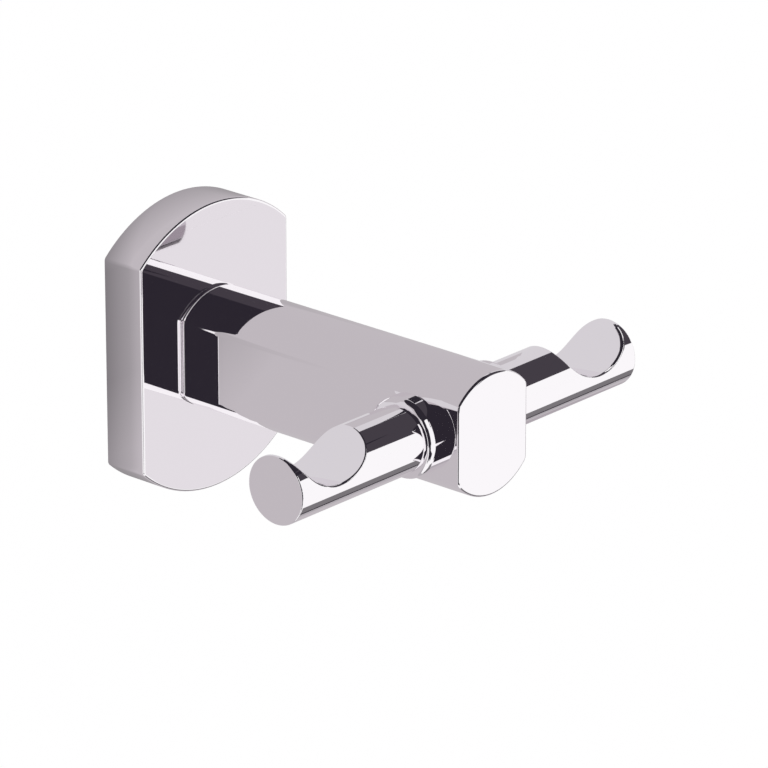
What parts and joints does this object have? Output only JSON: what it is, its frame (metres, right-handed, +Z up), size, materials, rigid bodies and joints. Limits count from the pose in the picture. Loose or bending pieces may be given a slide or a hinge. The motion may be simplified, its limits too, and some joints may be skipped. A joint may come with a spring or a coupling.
{
  "type": "double robe hook",
  "caption": "Wall-mounted chrome robe hook: arched flange, projecting arm and cross pegs with saddle notches.",
  "frame": {"origin": "centre of the flange's back, on the wall surface", "axes": "+Z up, +Y into the wall, +X to the right as one faces the wall; the arm stands out along -Y"},
  "size_m": [0.0852, 0.0718, 0.0524],
  "materials": {
    "polished_chrome": "mirror-polished chrome plating on brass",
    "plated_steel": "bright zinc-plated steel",
    "black_steel": "black-oxide steel"
  },
  "bodies": {
    "root": {"flange": "polished_chrome", "arm": "polished_chrome", "left_peg": "polished_chrome", "right_peg": "polished_chrome", "cross_stud": "plated_steel", "arm_screw": "plated_steel", "arm_washer": "plated_steel", "set_screw": "black_steel", "wall_bracket": "plated_steel"}
  },
  "joints": []
}
